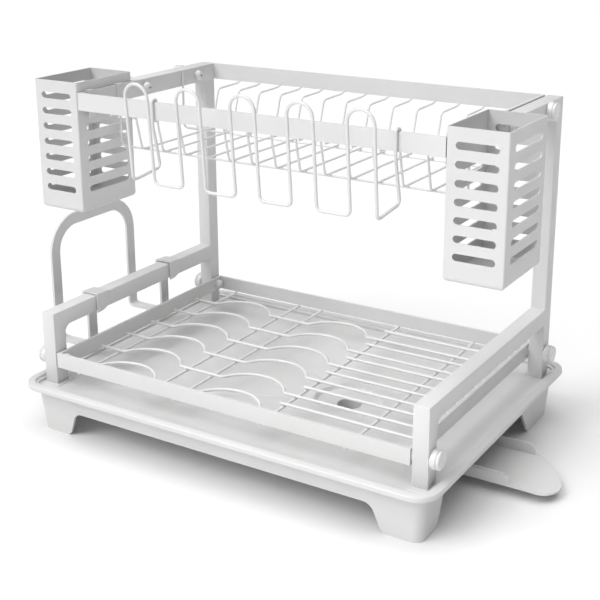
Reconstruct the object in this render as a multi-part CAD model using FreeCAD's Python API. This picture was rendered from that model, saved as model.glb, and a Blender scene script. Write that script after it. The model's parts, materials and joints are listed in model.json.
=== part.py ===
"""Two-tier dish drying rack standing in a footed drip tray with a swivelling drain spout.

Millimetres, +Z up, the ground at z = 0. The parts are laid out about the rack's own
mid-plane (x = 0) with the front faces of the front posts at y = 0. At export everything
moves so that the origin is the bottom centre of the whole object.
"""
import FreeCAD, Part
import math
import os

Vector = FreeCAD.Vector
UP = Vector(0, 0, 1)
BACK = Vector(0, 1, 0)

# ---------------------------------------------------------------- driving dimensions
# Layout: bottom centre of the whole object, in the layout's own coordinates
ORIGIN = Vector(11.0, 137.4, 0)
SIDES = (("left", -1), ("right", 1))

# Drip tray
FLOOR_Z = 46.0            # height of the basin floor along its edge, where the posts stand
RIM_X = 223.5             # half width over the rim
RIM_Y = (-24.7, 299.5)
RIM_TOP = FLOOR_Z + 5.0
RIM_R = 22.0
RIM_EDGE = 1.5
FLANGE = 7.5              # width of the flat rim
LIP = 2.5                 # thickness of the rim and of its turned-down lip
BASIN_FILLET = 4.8
SKIRT_TOP_X = 213.0
SKIRT_Y = (-13.0, 288.0)
SKIRT_DRAFT = 4.0         # how far the skirt leans in from its top to the ground
SKIRT_R = 9.0
SKIRT_WALL = 2.6
SKIRT_BOTTOM = 26.2       # lower edge of the front and back skirt, between the feet
FLOOR_WALL = 2.5
DRAIN = (59.0, 137.5)     # centre of the drain and axis of the spout
FUNNEL_DEPTH = 10.4
RECESS_R = 35.0
RECESS_TOP = FLOOR_Z - 8.0
RECESS_FLOOR = FLOOR_Z - 13.5
RECESS_TAPER = 3.0        # how much smaller the recess is at its foot
DISH_DEPTH = 1.5          # fall of the recess's floor to the drain hole
DRAIN_R = 12.0
FOOT_X = (164.6, 176.5)   # inner edge of a foot at the skirt's edge and at the ground
FRONT_FOOT_Y = (30.0, 20.0)
BACK_FOOT_Y = (195.0, 233.0)
FOOT_CURVE = 12.0
FOOT_CORNER = 8.0         # at the ground
PAD_X = (191.0, 213.0)    # level pads on the sloping floor, one under each post
PAD_Y = ((-6.0, 22.0), (253.0, 281.0))
PAD_CORNER = 4.0
PAD_DEPTH = 5.0           # more than the floor's fall at the pads

# Drain spout
SPOUT_HALF = 34.0
SPOUT_BOTTOM = 8.7
SPOUT_FLOOR = 10.5
SPOUT_TOP = 21.0
SPOUT_WALL = 2.0
SPOUT_WALL_END = 240.0
SPOUT_RIDGE_END = 234.0   # the front wall's inner ridge stops short of the wall's end
SPOUT_RIDGE = 1.9         # its height over the wall's outer half
SPOUT_LEDGE = 0.9         # width of the outer half's top
BACK_WALL_ROUND = 9.0
FRONT_WALL_ROUND = 1.2
SPOUT_TIP_CURVE = ((262.0, 103.5), (275.4, 107.2), (281.3, 119.5), (277.5, 133.0), (268.0, 148.8),
                   (254.5, 164.3), (246.0, 170.6), (238.0, 174.6))
PIVOT_R = 14.1            # outside of the tray's outlet neck, which the spout turns on
PIVOT_GAP = 0.1
SNAP_R = 16.0
SNAP_HEIGHT = 2.0
SNAP_TAPER = 1.2
NECK_SHOULDER = 3.0       # how far the neck's shoulder stands out over the hub
HUB_ROOF = 2.0
HUB_PLAY = 0.2            # clearance above and below the hub's roof

# Side frames: square tube
TUBE_X = 15.0
TUBE_Y = 16.0
TUBE_WALL = 1.4
TUBE_EDGE = 1.0
FRAME_X = 195.0           # inner face of each side frame
FRONT_POST_TOP = FLOOR_Z + 73.5
RAIL_BOTTOM = FLOOR_Z + 57.0
BACK_POST_Y = 259.0
BACK_POST_TOP = FLOOR_Z + 283.0
ARM_BOTTOM = FLOOR_Z + 266.7
ARM_FRONT = 134.0
CORNER_FILLET = 8.0
CAP = 1.2                 # visible thickness of a tube's plastic end cap
PLUG = 8.0                # length of a cap's plug inside its tube

# Racks of flat bar
BAR = 3.0
BAR_X = 193.3             # outer faces of the side bars
LOWER_BAR_Z = (FLOOR_Z + 18.3, FLOOR_Z + 33.0)
LOWER_BAR_Y = (0.0, 274.0)
UPPER_BAR_Z = (FLOOR_Z + 266.7, FLOOR_Z + 283.5)
UPPER_BAR_Y = (50.5, 271.0)

# Lower rack's wires
RACK_WIRE = 3.0
CROSS_WIRE_X = (-168.5, -82.5, -52.5, 43.3, 130.5)
CROSS_WIRE_SETBACK = 2.0  # from the bars' outer faces
ROW_Y = 21.9
ROW_PITCH = 40.2
ROWS = 6
SHORT_WIRE_X = 40.0
SHORT_WIRE_Y = 42.5
SHORT_WIRE_PITCH = 40.9
HUMP_X = (-125.0, -3.8)
HUMP_HALF = 35.0
HUMP_RISE = 22.0
HUMP_FILLET = 4.0

# Upper basket's wires
WIRE = 2.2
RIB_X = -155.0
RIB_PITCH = 26.2
RIBS = 13
RIB_BOTTOM = FLOOR_Z + 224.0
RIB_SHAPE = ((267.7, 266.9), (262.0, 265.4), (227.5, 264.6), (220.5, 243.5), (212.5, 224.0),
             (97.5, 224.0), (91.5, 248.0), (88.0, 265.0), (53.5, 265.0))   # y, height over the floor
RIB_RADII = (4.0, 5.0, 30.0, 5.0, 5.0, 30.0, 4.0)
RUNNER_Y = (107.0, 210.0)
RUNNER_TIP = (FLOOR_Z + 269.0, FLOOR_Z + 281.0)
RUNNER_BEND = 5.0

# Cup holder
CUP_WIRE = 3.0
CUPS = 5
CUP_X = -89.0
CUP_PITCH = 56.6
CUP_HALF = 12.4
CUP_BOTTOM = (18.5, FLOOR_Z + 216.5)
CUP_TOP = (11.0, FLOOR_Z + 308.5)
CUP_FILLET = 5.0
CUP_RETURN = (58.0, FLOOR_Z + 221.0)
CUP_HOOK_GAP = 0.2        # play between the hooked wire and the bar's two faces
CUP_HOOK_DROP = 8.0       # how far the wire's tips hang behind the bar
CUP_HOOK_R = 1.6
CUP_SWEEP_R = 25.0        # long bend from the hook towards the return
CUP_SWEEP_TOP = FLOOR_Z + 262.0

# Utensil holders
HOLDER_X = (194.0, 247.5)
HOLDER_Y = (50.0, 131.0)
HOLDER_Z = (FLOOR_Z + 163.5, FLOOR_Z + 293.0)
HOLDER_WALL = 1.3
HOLDER_EDGE = 1.5
HOLDER_CORNER = 4.0
SLOTS = 7
SLOT_HEIGHT = 6.5
SLOT_TOP = FLOOR_Z + 278.1
SLOT_PITCH = 15.4
SLOT_X = (202.0, 239.5)
SLOT_Y = (62.0, 122.0)
SLOT_CUTTER = 120.0       # length of the cutter that pierces both opposite walls
INNER_SLOTS_SKIPPED = 2   # upper rows left out of the wall that faces the rack
HOOK_Y = ((61.3, 69.8), (103.5, 112.5))
HOOK_TIP = (FLOOR_Z + 258.0, FLOOR_Z + 271.0)
HOOK_THICKNESS = 1.3
HOOK_PLAY = 0.3

# Cutting board and lid holder
STRIP = 2.6
STRIP_WIDTH = 12.3
ARCH_Y = (67.0, 198.8)
ARCH_X = -258.2
ARCH_TOP = FLOOR_Z + 142.2
ARCH_R = 38.5
ARCH_BOTTOM = FLOOR_Z + 10.3
INNER_LEG_X = -211.9
FOOT_BEND = 5.0           # outer bend of each foot, on the strip's middle line
HEEL_BEND = 3.5           # bend from the foot up into the inner leg
LEG_TOP = RAIL_BOTTOM + 8.0
CLIP_FRONT = 5.4          # how far a clip reaches in front of its leg
CLIP_WALL = (1.1, 1.1)    # at the clip's front edge and at its back edge
CLIP_GAP = (1.1, 0.1)
CLIP_SIDE_GAP = 0.3       # play between the clip and the rail's outer face
CLIP_CREST = 0.9
CLIP_LIP_BOTTOM = RAIL_BOTTOM - 1.7
CLIP_LIP_RISE = 3.0       # how much higher the lip's lower edge is at its back

# Fasteners
BOLT_R = 2.4
BOLT_HOLE_R = 2.6
BOLT_REACH = 12.0         # hole cutters start this far inside the side bars
LOWER_BOLTS = ((8.4, FLOOR_Z + 25.6), (265.6, FLOOR_Z + 25.6))
UPPER_BOLTS = ((149.0, FLOOR_Z + 275.0), (237.0, FLOOR_Z + 275.0))
BOLT_END = 4.0            # thread that reaches past the side bar into the nut
NUT_BORE_R = 2.45
NUT_VENT_R = 1.0
NUT_WALL = 1.6            # solid tip of the dome beyond the bore
WASHER_R = 6.5
# Turned outlines: distance from the seating face, radius
KNOB_OUTLINE = ((0.0, 8.2), (0.6, 8.8), (5.2, 8.8), (5.8, 8.1), (6.4, 8.1),
                (6.8, 8.6), (7.9, 7.9), (8.8, 6.8))
NUT_OUTLINE = ((0.0, 4.8), (0.4, 5.2), (3.0, 5.2), (4.6, 4.4), (5.8, 3.1), (6.4, 1.6))


# ---------------------------------------------------------------- shape helpers
def block(x, y, z):
    """Box between two values on each axis."""
    low = Vector(min(x), min(y), min(z))
    return Part.makeBox(max(x) - low.x, max(y) - low.y, max(z) - low.z, low)


def cylinder(base, axis, length, radius):
    return Part.makeCylinder(radius, length, base, axis)


def line(start, end):
    return Part.LineSegment(start, end).toShape()


def rounded_path(points, radii):
    """Edges of straight runs through the points, joined by tangent arcs where a radius is given."""
    edges = []
    start = points[0]
    for before, corner, after, radius in zip(points, points[1:], points[2:], radii):
        into = (corner - before).normalize()
        out = (after - corner).normalize()
        half_turn = into.getAngle(out) / 2
        reach = radius * math.tan(half_turn)
        arc_start = corner - into * reach
        arc_end = corner + out * reach
        inward = (out - into).normalize()
        middle = corner + inward * (radius / math.cos(half_turn) - radius)
        if (arc_start - start).Length > 1e-6:
            edges.append(line(start, arc_start))
        if radius:
            edges.append(Part.Arc(arc_start, middle, arc_end).toShape())
        start = arc_end
    if (points[-1] - start).Length > 1e-6:
        edges.append(line(start, points[-1]))
    return edges


def sweep_round(edges, diameter):
    """Round wire of one diameter along joined edges."""
    spine = Part.Wire(edges)
    first = edges[0]
    start = first.valueAt(first.FirstParameter)
    direction = first.tangentAt(first.FirstParameter)
    profile = Part.Wire([Part.makeCircle(diameter / 2, start, direction)])
    return spine.makePipeShell([profile], True, False)


def rod(points, radii, diameter):
    """Bent round wire through the points."""
    return sweep_round(rounded_path(points, radii), diameter)


def filled(edges):
    return Part.Face(Part.Wire(edges))


def rounded_rectangle(x, y, z, radius):
    """Closed wire of a rectangle with round corners at height z."""
    middle = Vector((x[0] + x[1]) / 2, y[0], z)
    corners = [Vector(x[1], y[0], z), Vector(x[1], y[1], z), Vector(x[0], y[1], z), Vector(x[0], y[0], z)]
    return Part.Wire(rounded_path([middle] + corners + [middle], [radius] * 4))


def slab(x, y, z, radius):
    """Upright prism with rounded vertical edges."""
    base = Part.Face(rounded_rectangle(x, y, z[0], radius))
    return base.extrude(Vector(0, 0, z[1] - z[0]))


def grown(span, amount):
    return (span[0] - amount, span[1] + amount)


def edges_along(shape, axis):
    """Straight edges that run along one unit vector."""
    straight = [edge for edge in shape.Edges if edge.Curve.TypeId == "Part::GeomLine"]
    return [edge for edge in straight if abs(edge.tangentAt(edge.FirstParameter).dot(axis)) > 0.999]


def edges_at_height(shape, z):
    def level(edge):
        box = edge.BoundBox
        return abs(box.ZMin - z) < 1e-4 and abs(box.ZMax - z) < 1e-4

    return [edge for edge in shape.Edges if level(edge)]


def mirrored(shape, side):
    """A right-hand shape as it is, or its mirror image for the left side."""
    if side > 0:
        return shape
    return shape.mirror(Vector(0, 0, 0), Vector(1, 0, 0))


# ---------------------------------------------------------------- drip tray
def above_drain(z):
    """Point on the drain's axis."""
    return Vector(DRAIN[0], DRAIN[1], z)


def funnel(top, depth):
    """Solid under four planes that fall from the basin's edge to the drain."""
    x = RIM_X - FLANGE
    y = (RIM_Y[0] + FLANGE, RIM_Y[1] - FLANGE)
    corners = [Vector(-x, y[0], top), Vector(x, y[0], top), Vector(x, y[1], top), Vector(-x, y[1], top)]
    apex = above_drain(top - depth)
    faces = [Part.Face(Part.makePolygon(corners + corners[:1]))]
    for start, end in zip(corners, corners[1:] + corners[:1]):
        faces.append(Part.Face(Part.makePolygon([start, end, apex, start])))
    return Part.Solid(Part.Shell(faces))


def skirt_block(inset, z):
    """Skirt's outer form, moved inwards by the inset, between two heights."""
    wires = []
    for height in z:
        lean = SKIRT_DRAFT * (1 - height / (RIM_TOP - LIP)) + inset
        x = SKIRT_TOP_X - lean
        y = grown(SKIRT_Y, -lean)
        wires.append(rounded_rectangle((-x, x), y, height, SKIRT_R - inset))
    return Part.makeLoft(wires, True, True)


def basin():
    """Space inside the tray, with a round foot to its wall and level pads left for the posts."""
    x = RIM_X - FLANGE
    y = grown(RIM_Y, -FLANGE)
    hollow = slab((-x, x), y, (FLOOR_Z, RIM_TOP + 5), RIM_R - FLANGE)
    hollow = hollow.makeFillet(BASIN_FILLET, edges_at_height(hollow, FLOOR_Z))
    slope = funnel(FLOOR_Z, FUNNEL_DEPTH)
    flat_x = x - BASIN_FILLET
    flat_r = RIM_R - FLANGE - BASIN_FILLET
    slope = slope.common(slab((-flat_x, flat_x), grown(y, -BASIN_FILLET), (0, RIM_TOP), flat_r))
    for side in (-1, 1):
        for pad_y in PAD_Y:
            pad_x = sorted((side * PAD_X[0], side * PAD_X[1]))
            slope = slope.cut(slab(pad_x, pad_y, (FLOOR_Z - PAD_DEPTH, FLOOR_Z), PAD_CORNER))
    foot_r = RECESS_R - RECESS_TAPER
    recess_wall = Part.makeCone(foot_r, RECESS_R, RECESS_TOP - RECESS_FLOOR, above_drain(RECESS_FLOOR))
    dish = Part.makeCone(DRAIN_R, foot_r, DISH_DEPTH, above_drain(RECESS_FLOOR - DISH_DEPTH))
    return hollow.fuse([slope, recess_wall, dish])


def foot_gap(outline, across):
    """Opening between two feet; the outline runs along the ground, up one foot and down the other."""
    edges = rounded_path(outline, [FOOT_CORNER, FOOT_CURVE, FOOT_CURVE, FOOT_CORNER])
    below = [outline[-1], outline[-1] - UP, outline[0] - UP, outline[0]]
    edges += [line(start, end) for start, end in zip(below, below[1:])]
    return filled(edges).extrude(across)


def foot_gap_front():
    """Opening between the feet under the front and back skirt."""
    ground = FOOT_X[1] + 2 * FOOT_CORNER
    half = [(ground, 0), (FOOT_X[1], 0), (FOOT_X[0], SKIRT_BOTTOM)]
    outline = [Vector(-x, -50, z) for x, z in half] + [Vector(x, -50, z) for x, z in half[::-1]]
    return foot_gap(outline, Vector(0, 400, 0))


def foot_gap_side():
    """Opening between the feet along each side, up to the basin's underside."""
    top = FLOOR_Z - FLOOR_WALL
    front = [(FRONT_FOOT_Y[1] - 2 * FOOT_CORNER, 0), (FRONT_FOOT_Y[1], 0), (FRONT_FOOT_Y[0], top)]
    back = [(BACK_FOOT_Y[0], top), (BACK_FOOT_Y[1], 0), (BACK_FOOT_Y[1] + 2 * FOOT_CORNER, 0)]
    return foot_gap([Vector(-300, y, z) for y, z in front + back], Vector(600, 0, 0))


def outlet_neck():
    """Neck below the drain that the spout snaps onto and turns about."""
    shoulder_z = SPOUT_TOP + HUB_PLAY
    snap_top = SPOUT_TOP - HUB_ROOF - HUB_PLAY
    shoulder = cylinder(above_drain(shoulder_z), UP, RECESS_FLOOR - shoulder_z, PIVOT_R + NECK_SHOULDER)
    neck = cylinder(above_drain(snap_top), UP, RECESS_FLOOR - snap_top, PIVOT_R)
    snap = Part.makeCone(SNAP_R - SNAP_TAPER, SNAP_R, SNAP_HEIGHT, above_drain(snap_top - SNAP_HEIGHT))
    return shoulder.fuse([neck, snap])


def tray_floor():
    """Material under the sloping floor and the drain's recess."""
    recess_bottom = RECESS_FLOOR - DISH_DEPTH - FLOOR_WALL
    recess_height = FLOOR_Z - FLOOR_WALL - recess_bottom
    recess = cylinder(above_drain(recess_bottom), UP, recess_height, RECESS_R + FLOOR_WALL)
    inside = skirt_block(SKIRT_WALL / 2, (0, FLOOR_Z - FLOOR_WALL))
    return funnel(FLOOR_Z - FLOOR_WALL, FUNNEL_DEPTH).common(inside).fuse(recess)


def drip_tray():
    x = RIM_X
    rim = slab((-x, x), RIM_Y, (FLOOR_Z, RIM_TOP), RIM_R)
    rim = rim.makeFillet(RIM_EDGE, edges_at_height(rim, RIM_TOP))
    rim = rim.cut(slab((LIP - x, x - LIP), grown(RIM_Y, -LIP), (FLOOR_Z - 1, RIM_TOP - LIP), RIM_R - LIP))
    wall = FLANGE - LIP
    shell_z = (FLOOR_Z - FLOOR_WALL, RIM_TOP - LIP)
    shell = slab((wall - x, x - wall), grown(RIM_Y, -wall), shell_z, RIM_R - wall)
    shell = shell.makeFillet(BASIN_FILLET, edges_at_height(shell, FLOOR_Z - FLOOR_WALL))
    skirt = skirt_block(0, (0, RIM_TOP - LIP)).cut(skirt_block(SKIRT_WALL, (-1, FLOOR_Z - FLOOR_WALL)))
    skirt = skirt.cut([foot_gap_front(), foot_gap_side()])
    tray = rim.fuse([shell, skirt, tray_floor(), outlet_neck()]).cut(basin())
    outlet = cylinder(above_drain(0), UP, FLOOR_Z, DRAIN_R)
    return tray.cut(outlet).removeSplitter()


# ---------------------------------------------------------------- drain spout
def drain_spout():
    """Round hub under the drain, an open trough, and a flat pouring tongue."""
    y = (DRAIN[1] - SPOUT_HALF, DRAIN[1] + SPOUT_HALF)
    height = SPOUT_TOP - SPOUT_BOTTOM
    body = cylinder(above_drain(SPOUT_BOTTOM), UP, height, SPOUT_HALF)
    body = body.fuse(block((DRAIN[0], SPOUT_WALL_END), y, (SPOUT_BOTTOM, SPOUT_TOP)))
    trough = block((DRAIN[0], SPOUT_WALL_END + 1), grown(y, -SPOUT_WALL), (SPOUT_FLOOR, SPOUT_TOP + 1))
    hub_hollow = cylinder(above_drain(SPOUT_FLOOR), UP, height, SPOUT_HALF - SPOUT_WALL)
    roof = cylinder(above_drain(SPOUT_TOP - HUB_ROOF), UP, HUB_ROOF, SPOUT_HALF)
    hub_hole = cylinder(above_drain(SPOUT_FLOOR), UP, height, PIVOT_R + PIVOT_GAP)
    body = body.cut([trough, hub_hollow]).fuse(roof).cut(hub_hole)
    body = body.cut(front_wall_step(y[0]) + [back_wall_round(y[1] - SPOUT_WALL)])
    return body.fuse(pouring_tongue(y)).removeSplitter()


def front_wall_step(y):
    """Cuts that lower the front wall's outer half and square off the ridge behind it."""
    above = SPOUT_TOP + 1
    ledge = SPOUT_TOP - SPOUT_RIDGE
    beyond = SPOUT_WALL_END + 1
    outer_half = block((DRAIN[0] + SPOUT_HALF, beyond), (y - 1, y + SPOUT_LEDGE), (ledge, above))
    corners = [(SPOUT_RIDGE_END, above), (SPOUT_RIDGE_END, ledge), (SPOUT_WALL_END, ledge),
               (SPOUT_WALL_END, SPOUT_FLOOR), (beyond, SPOUT_FLOOR), (beyond, above)]
    outline = [Vector(x, y - 1, z) for x, z in corners]
    edges = rounded_path(outline + outline[:1], [0, FRONT_WALL_ROUND, 0, 0, 0])
    return [outer_half, filled(edges).extrude(Vector(0, SPOUT_WALL + 2, 0))]


def back_wall_round(y):
    """Corner cut off the back wall, where it rounds down to the tongue."""
    beyond = SPOUT_WALL_END + 1
    above = SPOUT_TOP + 1
    crest = Vector(SPOUT_WALL_END - BACK_WALL_ROUND, y - 1, SPOUT_TOP)
    shoulder = Vector(SPOUT_WALL_END - 1.8, y - 1, SPOUT_TOP - 3.5)
    toe = Vector(SPOUT_WALL_END, y - 1, SPOUT_FLOOR)
    corners = [toe, Vector(beyond, y - 1, SPOUT_FLOOR), Vector(beyond, y - 1, above),
               Vector(crest.x, y - 1, above), crest]
    edges = [Part.Arc(crest, shoulder, toe).toShape()]
    edges += [line(start, end) for start, end in zip(corners, corners[1:])]
    return filled(edges).extrude(Vector(0, SPOUT_WALL + 2, 0))


def pouring_tongue(y):
    """Flat tongue whose edge is one smooth curve from the front wall to the back wall."""
    start = Vector(SPOUT_WALL_END - 8, y[0], SPOUT_BOTTOM)
    back = Vector(SPOUT_WALL_END - 8, y[1], SPOUT_BOTTOM)
    points = [Vector(px, py, SPOUT_BOTTOM) for px, py in SPOUT_TIP_CURVE]
    curve = Part.BSplineCurve()
    curve.interpolate(points)
    edges = [line(start, points[0]), curve.toShape(), line(points[-1], back), line(back, start)]
    return filled(edges).extrude(Vector(0, 0, SPOUT_FLOOR - SPOUT_BOTTOM))


# ---------------------------------------------------------------- side frames
def tube_along(x, y, z, axis):
    """Thin-walled rectangular tube, open at both ends, along one axis."""
    outer = block(x, y, z)
    outer = outer.makeFillet(TUBE_EDGE, edges_along(outer, axis))
    spans = [x, y, z]
    inner = []
    for span, part in zip(spans, (axis.x, axis.y, axis.z)):
        inner.append(grown(span, 1) if part else grown(span, -TUBE_WALL))
    return outer.cut(block(*inner))


def bolt_holes(shape, bolts, side):
    """Clearance holes along X for a list of (y, z) bolt axes on one side."""
    for y, z in bolts:
        start = Vector(side * (BAR_X - BOLT_REACH), y, z)
        shape = shape.cut(cylinder(start, Vector(side, 0, 0), 3 * BOLT_REACH, BOLT_HOLE_R))
    return shape


def closed_post(x, y, top):
    """Upright tube on its foot cap, closed at the top."""
    post = tube_along(x, y, (FLOOR_Z + CAP, top), UP)
    lid = block(grown(x, -TUBE_WALL / 2), grown(y, -TUBE_WALL / 2), (top - TUBE_WALL, top))
    return post.fuse(lid)


def side_frame(name, side):
    """Front post, low rail, back post and top arm of one side."""
    x = (FRAME_X, FRAME_X + TUBE_X)
    front = closed_post(x, (0, TUBE_Y), FRONT_POST_TOP)
    rail = tube_along(x, (TUBE_Y, BACK_POST_Y), (RAIL_BOTTOM, FRONT_POST_TOP), BACK)
    rail = rail.fuse(corner_web(x))
    back = closed_post(x, (BACK_POST_Y, BACK_POST_Y + TUBE_Y), BACK_POST_TOP)
    arm = tube_along(x, (ARM_FRONT + CAP, BACK_POST_Y), (ARM_BOTTOM, BACK_POST_TOP), BACK)
    front = bolt_holes(mirrored(front, side), LOWER_BOLTS[:1], side)
    back = bolt_holes(mirrored(back, side), LOWER_BOLTS[1:], side)
    arm = bolt_holes(mirrored(arm, side), UPPER_BOLTS, side)
    return {
        name + "_front_post": front,
        name + "_rail": mirrored(rail, side),
        name + "_back_post": back,
        name + "_arm": arm,
    }


def corner_web(x):
    """Concave corner between the underside of the rail and the back of the front post."""
    y = TUBE_Y
    z = RAIL_BOTTOM
    r = CORNER_FILLET
    mid = r * (1 - math.sqrt(0.5))
    corner = Vector(x[0], y, z)
    on_rail = corner + BACK * r
    on_post = corner - UP * r
    bend = Part.Arc(on_rail, corner + BACK * mid - UP * mid, on_post)
    edges = [line(corner, on_rail), bend.toShape(), line(on_post, corner)]
    return filled(edges).extrude(Vector(x[1] - x[0], 0, 0))


def post_foot_caps():
    """Plastic plugs in the lower ends of the four posts."""
    caps = []
    for side in (-1, 1):
        for y in (0, BACK_POST_Y):
            x = (FRAME_X, FRAME_X + TUBE_X)
            plate = slab(x, (y, y + TUBE_Y), (FLOOR_Z, FLOOR_Z + CAP), TUBE_EDGE)
            plug_y = (y + TUBE_WALL, y + TUBE_Y - TUBE_WALL)
            plug = block(grown(x, -TUBE_WALL), plug_y, (FLOOR_Z, FLOOR_Z + PLUG))
            caps.append(mirrored(plate.fuse(plug), side))
    return Part.makeCompound(caps)


def arm_end_caps():
    """Plastic plugs in the front ends of the two top arms."""
    caps = []
    x = (FRAME_X, FRAME_X + TUBE_X)
    z = (ARM_BOTTOM, BACK_POST_TOP)
    plate = block(x, (ARM_FRONT, ARM_FRONT + CAP), z)
    plate = plate.makeFillet(TUBE_EDGE, edges_along(plate, BACK))
    plug = block(grown(x, -TUBE_WALL), (ARM_FRONT, ARM_FRONT + PLUG), grown(z, -TUBE_WALL))
    for side in (-1, 1):
        caps.append(mirrored(plate.fuse(plug), side))
    return Part.makeCompound(caps)


# ---------------------------------------------------------------- flat-bar frames
def bar_frame(prefix, y, z, bolts):
    """Four flat bars of one rack; the side bars stand between the front and back bars."""
    x = (-BAR_X, BAR_X)
    parts = {
        prefix + "_front_bar": block(x, (y[0], y[0] + BAR), z),
        prefix + "_back_bar": block(x, (y[1] - BAR, y[1]), z),
    }
    for name, side in SIDES:
        bar = block((side * (BAR_X - BAR), side * BAR_X), (y[0] + BAR, y[1] - BAR), z)
        parts[prefix + "_" + name + "_bar"] = bolt_holes(bar, bolts, side)
    return parts


# ---------------------------------------------------------------- lower rack's wires
CROSS_WIRE_Z = LOWER_BAR_Z[0] - RACK_WIRE / 2
ROW_WIRE_Z = CROSS_WIRE_Z + RACK_WIRE


def lower_cross_wires():
    """Wires from front to back, welded under the bars."""
    wires = []
    y = grown(LOWER_BAR_Y, -CROSS_WIRE_SETBACK)
    for x in CROSS_WIRE_X:
        wires.append(cylinder(Vector(x, y[0], CROSS_WIRE_Z), BACK, y[1] - y[0], RACK_WIRE / 2))
    return Part.makeCompound(wires)


def hump_radius():
    return (HUMP_HALF ** 2 + HUMP_RISE ** 2) / (2 * HUMP_RISE)


def hump_edges(start, x, y):
    """Straight lead-in from start and a flat-lying hump about x, with eased corners."""
    radius = hump_radius()
    centre_y = y + HUMP_RISE - radius
    ease_y = y + HUMP_FILLET
    ease_x = math.sqrt((radius + HUMP_FILLET) ** 2 - (ease_y - centre_y) ** 2)
    share = radius / (radius + HUMP_FILLET)
    touch = (ease_x * share, centre_y + (ease_y - centre_y) * share)
    edges = [line(start, Vector(x - ease_x, y, ROW_WIRE_Z))]

    def ease(side):
        """Middle of the small corner arc on one side."""
        to_line = Vector(0, -1, 0)
        to_hump = Vector(-side * (ease_x - touch[0]), touch[1] - ease_y, 0).normalize()
        bisector = (to_line + to_hump).normalize()
        return Vector(x + side * ease_x, ease_y, ROW_WIRE_Z) + bisector * HUMP_FILLET

    rise = Vector(x - touch[0], touch[1], ROW_WIRE_Z)
    fall = Vector(x + touch[0], touch[1], ROW_WIRE_Z)
    top = Vector(x, y + HUMP_RISE, ROW_WIRE_Z)
    end = Vector(x + ease_x, y, ROW_WIRE_Z)
    edges.append(Part.Arc(edges[0].Vertexes[1].Point, ease(-1), rise).toShape())
    edges.append(Part.Arc(rise, top, fall).toShape())
    edges.append(Part.Arc(fall, ease(1), end).toShape())
    return edges, end


def plate_wires():
    """Long rows, each with two humps that a plate's rim leans in."""
    wires = []
    inner_x = BAR_X - BAR
    for row in range(ROWS):
        y = ROW_Y + ROW_PITCH * row
        start = Vector(-inner_x, y, ROW_WIRE_Z)
        edges = []
        for x in HUMP_X:
            hump, start = hump_edges(start, x, y)
            edges.extend(hump)
        edges.append(line(start, Vector(inner_x, y, ROW_WIRE_Z)))
        wires.append(sweep_round(edges, RACK_WIRE))
    return Part.makeCompound(wires)


def short_wires():
    """Short rows between the long ones at the right-hand end."""
    wires = []
    length = BAR_X - BAR - SHORT_WIRE_X
    for row in range(ROWS):
        start = Vector(SHORT_WIRE_X, SHORT_WIRE_Y + SHORT_WIRE_PITCH * row, ROW_WIRE_Z)
        wires.append(cylinder(start, Vector(1, 0, 0), length, RACK_WIRE / 2))
    return Part.makeCompound(wires)


# ---------------------------------------------------------------- upper basket's wires
def basket_ribs():
    """U-shaped ribs hung between the front and back bars."""
    ribs = []
    for index in range(RIBS):
        x = RIB_X + RIB_PITCH * index
        points = [Vector(x, y, FLOOR_Z + height) for y, height in RIB_SHAPE]
        ribs.append(rod(points, RIB_RADII, WIRE))
    return Part.makeCompound(ribs)


def basket_runners():
    """Two long wires under the ribs, turned up against the side bars."""
    runners = []
    x = BAR_X - BAR - WIRE / 2
    z = RIB_BOTTOM - WIRE
    for y, tip in zip(RUNNER_Y, RUNNER_TIP):
        points = [Vector(-x, y, tip), Vector(-x, y, z), Vector(x, y, z), Vector(x, y, tip)]
        runners.append(rod(points, (RUNNER_BEND, RUNNER_BEND), WIRE))
    return Part.makeCompound(runners)


# ---------------------------------------------------------------- cup holder
def cup_holder():
    """One bent wire of upright loops in front of the upper rack, hooked over its front bar."""
    lean = (CUP_TOP[0] - CUP_BOTTOM[0]) / (CUP_TOP[1] - CUP_BOTTOM[1])
    arch_z = CUP_TOP[1] - CUP_HALF - CUP_WIRE / 2

    def at(x, z):
        return Vector(x, CUP_BOTTOM[0] + lean * (z - CUP_BOTTOM[1]), z)

    bottom = CUP_BOTTOM[1]
    first = CUP_X - CUP_HALF
    last = CUP_X + CUP_PITCH * (CUPS - 1) + CUP_HALF
    bar_top = UPPER_BAR_Z[1]
    front_y = UPPER_BAR_Y[0] - CUP_WIRE / 2 - CUP_HOOK_GAP
    over_z = bar_top + CUP_WIRE / 2
    behind_y = UPPER_BAR_Y[0] + BAR + CUP_WIRE / 2 + CUP_HOOK_GAP

    def tail(x):
        """Points from the tip behind the bar to the lower front corner of an outer loop."""
        hook = [(behind_y, bar_top - CUP_HOOK_DROP), (behind_y, over_z), (front_y, over_z)]
        sweep = [(front_y, CUP_SWEEP_TOP), CUP_RETURN]
        return [Vector(x, y, z) for y, z in hook + sweep] + [at(x, bottom)]

    tail_radii = (CUP_HOOK_R, CUP_HOOK_R, CUP_SWEEP_R, CUP_FILLET, CUP_FILLET)
    points = tail(first)
    radii = list(tail_radii)
    edges = []
    for index in range(CUPS):
        left = CUP_X + CUP_PITCH * index - CUP_HALF
        right = left + 2 * CUP_HALF
        points.append(at(left, arch_z))
        edges.extend(rounded_path(points, radii))
        crown = at(left + CUP_HALF, arch_z + CUP_HALF)
        edges.append(Part.Arc(at(left, arch_z), crown, at(right, arch_z)).toShape())
        if index < CUPS - 1:
            points = [at(right, arch_z), at(right, bottom), at(right + CUP_PITCH - 2 * CUP_HALF, bottom)]
            radii = [CUP_FILLET] * 2
    edges.extend(rounded_path([at(last, arch_z)] + tail(last)[::-1], list(tail_radii)[::-1]))
    return sweep_round(edges, CUP_WIRE)


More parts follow.
